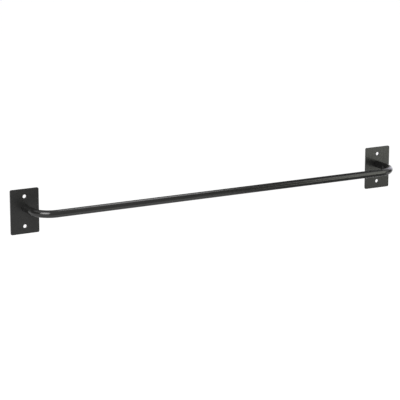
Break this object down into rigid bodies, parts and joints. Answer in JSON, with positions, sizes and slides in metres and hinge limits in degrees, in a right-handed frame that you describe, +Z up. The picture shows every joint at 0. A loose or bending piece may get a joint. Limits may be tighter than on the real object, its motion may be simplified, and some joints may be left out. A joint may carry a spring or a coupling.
{
  "type": "towel rail",
  "caption": "Wall-mounted towel rail: a slim round bar, bent back at each end to a flat rectangular wall plate with screw holes above and below the bar; a towel hangs over the bar.",
  "frame": {"origin": "on the wall plane, midway between the wall plates and at their mid-height", "axes": "+X along the bar, to the right as seen from the room; +Y into the wall; +Z up"},
  "size_m": [0.585, 0.055, 0.06],
  "materials": {
    "black_coat": "satin black powder coat"
  },
  "bodies": {
    "root": {"rail": "black_coat", "left_wall_plate": "black_coat", "right_wall_plate": "black_coat", "left_weld": "black_coat", "right_weld": "black_coat"}
  },
  "joints": []
}
